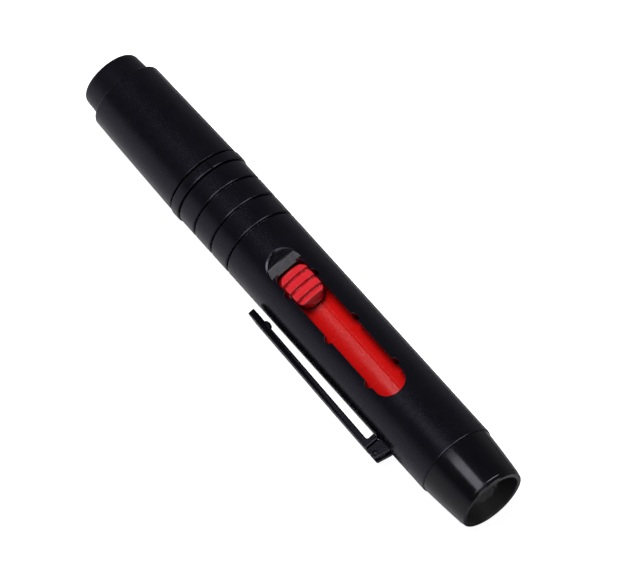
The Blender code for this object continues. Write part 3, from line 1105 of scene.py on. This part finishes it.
def build():
    """Every piece, with its material and body, and the second material of two of them."""
    black, gloss, metal, soft = satin_black(), gloss_black(), steel(), rubber()
    nub_black = satin_black("nub_black", 0.36)
    deep_red = red_plastic("deep_red", (0.54, 0.005, 0.004), (0.59, 0.006, 0.006), 0.24)
    bright_red = red_plastic("bright_red", (0.62, 0.018, 0.028), (0.67, 0.024, 0.034), 0.19)
    second = {"barrel": gloss, "nozzle": bore_black()}
    pieces = {
        "barrel": (barrel, black, "pen_body", "satin_black"),
        "nozzle": (nozzle, gloss, "pen_body", "gloss_black"),
        "collar_ring": (collar, black, "collar", "satin_black"),
        "cap_shell": (cap_shell, black, "cap", "satin_black"),
        "cap_end_plug": (cap_end, nub_black, "cap", "satin_black"),
        "brush_carrier": (carrier, deep_red, "brush", "deep_red_plastic"),
        "slider_button": (button, bright_red, "brush", "red_plastic"),
        "pocket_clip": (clip, black, "clip", "satin_black"),
        "clip_pin": (clip_pin, dark_steel(), "pen_body", "steel"),
        "brush_bristles": (bristles, hair(), "brush", "brush_hair"),
        "brush_ferrule": (ferrule, metal, "brush", "steel"),
        "detent_spring": (detent_spring, metal, "brush", "steel"),
        "stem_plug": (stem_plug, black, "pen_body", "satin_black"),
        "tip_stem": (tip_stem, black, "pen_body", "satin_black"),
        "friction_ring_front": (friction_ring_front, soft, "pen_body", "black_rubber"),
        "friction_ring_rear": (friction_ring_rear, soft, "pen_body", "black_rubber"),
        "tip_neck": (tip_neck, soft, "pen_body", "black_rubber"),
        "tip_pad_holder": (tip_pad_holder, black, "pen_body", "satin_black"),
        "tip_pad": (tip_pad, chamois(), "pen_body", "chamois"),
        "sponge_cup": (sponge_cup, black, "cap", "satin_black"),
        "carbon_sponge": (carbon_sponge, sponge(), "cap", "carbon_sponge"),
    }
    for node, (make, look, body, record_slot) in pieces.items():
        made = finish_piece(make(), look, body, record_slot, node)
        if node in second:
            made.data.materials.append(second[node])


# ---------------------------------------------------------------- stage


# The table's grey in reflections, by how far to the pen's side it is: 1 stands for TABLE_REACH, in metres.
TABLE_REACH = 0.2
TABLE_GREYS = (
    (0.0, (0.66, 0.66, 0.68)),
    (0.08, (0.50, 0.50, 0.52)),
    (0.3, (0.26, 0.26, 0.28)),
    (1.0, (0.12, 0.12, 0.13)),
)
FLOOR_SIZE = 3.0
FLOOR_DROP = 0.2


def floor():
    """A table that the camera sees as white. The pen reflects a greyer one, darker further to its sides."""
    work = bmesh.new()
    bmesh.ops.create_grid(work, x_segments=8, y_segments=8, size=FLOOR_SIZE)
    mesh = bpy.data.meshes.new("floor")
    work.to_mesh(mesh)
    work.free()
    made = bpy.data.objects.new("floor", mesh)
    bpy.context.scene.collection.objects.link(made)
    made.location.z = -FLOOR_DROP * MM
    white = (1.0, 1.0, 1.0)
    look = Look("floor", Roughness=0.9, Emission_Strength=0.95, Emission_Color=white, Specular_IOR_Level=0.0)
    look.to("Base Color", look.ramp(look.noise(3), (0.3, (0.93, 0.93, 0.93)), (0.7, (0.96, 0.96, 0.96))))
    table = look.nodes.new("ShaderNodeBsdfDiffuse")
    reach = look.nodes.new("ShaderNodeSeparateXYZ")
    look.links.new(look.place, reach.inputs[0])
    away = look.nodes.new("ShaderNodeMath")
    away.operation = "ABSOLUTE"
    look.links.new(reach.outputs["Y"], away.inputs[0])
    grey = look.ramp(look.spread(away.outputs[0], 0.0, 1.0, 0.0, TABLE_REACH), *TABLE_GREYS)
    look.links.new(grey, table.inputs["Color"])
    mix = look.nodes.new("ShaderNodeMixShader")
    look.links.new(look.nodes.new("ShaderNodeLightPath").outputs["Is Camera Ray"], mix.inputs["Fac"])
    look.links.new(table.outputs["BSDF"], mix.inputs[1])
    look.links.new(look.shader.outputs["BSDF"], mix.inputs[2])
    look.links.new(mix.outputs["Shader"], look.nodes["Material Output"].inputs["Surface"])
    mesh.materials.append(look.material)


WORLD_GREYS = ((0.2, 0.035), (0.65, 0.07), (0.95, 0.17))


def world():
    """Dark above the floor but for the pen's far side, and pale where the camera looks straight at it."""
    made = bpy.data.worlds.new("studio")
    bpy.context.scene.world = made
    made.use_nodes = True
    nodes, links = made.node_tree.nodes, made.node_tree.links
    split = nodes.new("ShaderNodeSeparateXYZ")
    links.new(nodes.new("ShaderNodeTexCoord").outputs["Generated"], split.inputs[0])
    ramp = nodes.new("ShaderNodeValToRGB")
    links.new(split.outputs["Y"], ramp.inputs["Fac"])
    elements = ramp.color_ramp.elements
    elements.new(0.5)
    for element, (place, grey) in zip(elements, WORLD_GREYS):
        element.position = place
        element.color = (grey, grey, grey * 1.06, 1)
    backdrop = nodes["Background"]
    backdrop.inputs["Color"].default_value = (0.86, 0.86, 0.87, 1)
    studio = nodes.new("ShaderNodeBackground")
    links.new(ramp.outputs["Color"], studio.inputs["Color"])
    mix = nodes.new("ShaderNodeMixShader")
    links.new(nodes.new("ShaderNodeLightPath").outputs["Is Camera Ray"], mix.inputs["Fac"])
    links.new(studio.outputs["Background"], mix.inputs[1])
    links.new(backdrop.outputs["Background"], mix.inputs[2])
    links.new(mix.outputs["Shader"], nodes["World Output"].inputs["Surface"])


def frame_of(right, up, back):
    return Matrix((right, up, back)).transposed().to_4x4()


def softbox(name, direction, distance, width, height, power, tint=(1.0, 1.0, 1.0)):
    """An area light that looks at the pen's middle. Lengths are in metres and the power in watts."""
    data = bpy.data.lights.new(name, "AREA")
    data.shape = "RECTANGLE"
    data.size = width
    data.size_y = height
    data.energy = power
    data.color = tint
    made = bpy.data.objects.new(name, data)
    bpy.context.scene.collection.objects.link(made)
    back = Vector(direction).normalized()
    side = Vector((1, 0, 0)) - back * back.x
    side.normalize()
    made.matrix_world = Matrix.Translation(MIDDLE + back * distance) @ frame_of(side, back.cross(side), back)
    return made


# The camera looks down the side of the slot, with the pen's nozzle end nearer. The lens is in millimetres.
TILT = math.radians(22.45)
LEAN = math.radians(47.9)
SLOT_TURN = math.radians(5)
DISTANCE = 1.350
SENSOR = 36
LENS = 432
SHIFT_RIGHT = 1.62
SHIFT_DOWN = 0.216
MIDDLE = PEN @ Vector((57.13 * MM, 0, 0))


def camera():
    """The photograph's view. It gives back the directions that the lights are placed by."""
    around = ROLL + SLOT_TURN
    facing = Vector((0, -math.sin(around), math.cos(around)))
    across = Vector((0, math.cos(around), math.sin(around)))
    along = Vector((1, 0, 0))
    back = facing * math.cos(TILT) + along * math.sin(TILT)
    forward = along * math.cos(TILT) - facing * math.sin(TILT)
    right = forward * math.cos(LEAN) + across * math.sin(LEAN)
    up = across * math.cos(LEAN) - forward * math.sin(LEAN)
    data = bpy.data.cameras.new("camera")
    data.sensor_width = SENSOR
    data.lens = LENS
    data.clip_end = 20
    made = bpy.data.objects.new("camera", data)
    bpy.context.scene.collection.objects.link(made)
    place = MIDDLE + back * DISTANCE + right * (SHIFT_RIGHT * MM) - up * (SHIFT_DOWN * MM)
    made.matrix_world = Matrix.Translation(place) @ frame_of(right, up, back)
    bpy.context.scene.camera = made
    return facing, across, along


COOL = (0.97, 0.97, 1.0)
KEY_TINT = (0.97, 0.96, 1.0)


def lights(facing, across, along):
    """A key overhead, a fill with no glint of its own, and three lights past the nozzle that only glint."""

    def towards(lean, turn):
        """A direction leant from square-on to the nozzle's end, and turned about the pen to the far side."""
        lean, turn = math.radians(lean), math.radians(turn)
        return (facing * math.cos(turn) + across * math.sin(turn)) * math.cos(lean) + along * math.sin(lean)

    softbox("key", towards(-4, 0), 0.7, 0.16, 0.3, 0.56, KEY_TINT)
    softbox("fill", towards(-25, 15), 0.9, 0.5, 0.5, 8.6).visible_glossy = False
    glints = [
        softbox("window", towards(38, 51), 0.8, 0.36, 0.5, 3.4, COOL),
        softbox("front", towards(38, -5), 0.8, 0.3, 0.4, 2.0, COOL),
        softbox("end", towards(67, 0), 0.8, 0.4, 0.4, 0.9, COOL),
    ]
    for light in glints:
        light.visible_diffuse = False


def main():
    bpy.context.scene.view_settings.view_transform = "Standard"
    build()
    floor()
    world()
    lights(*camera())


main()
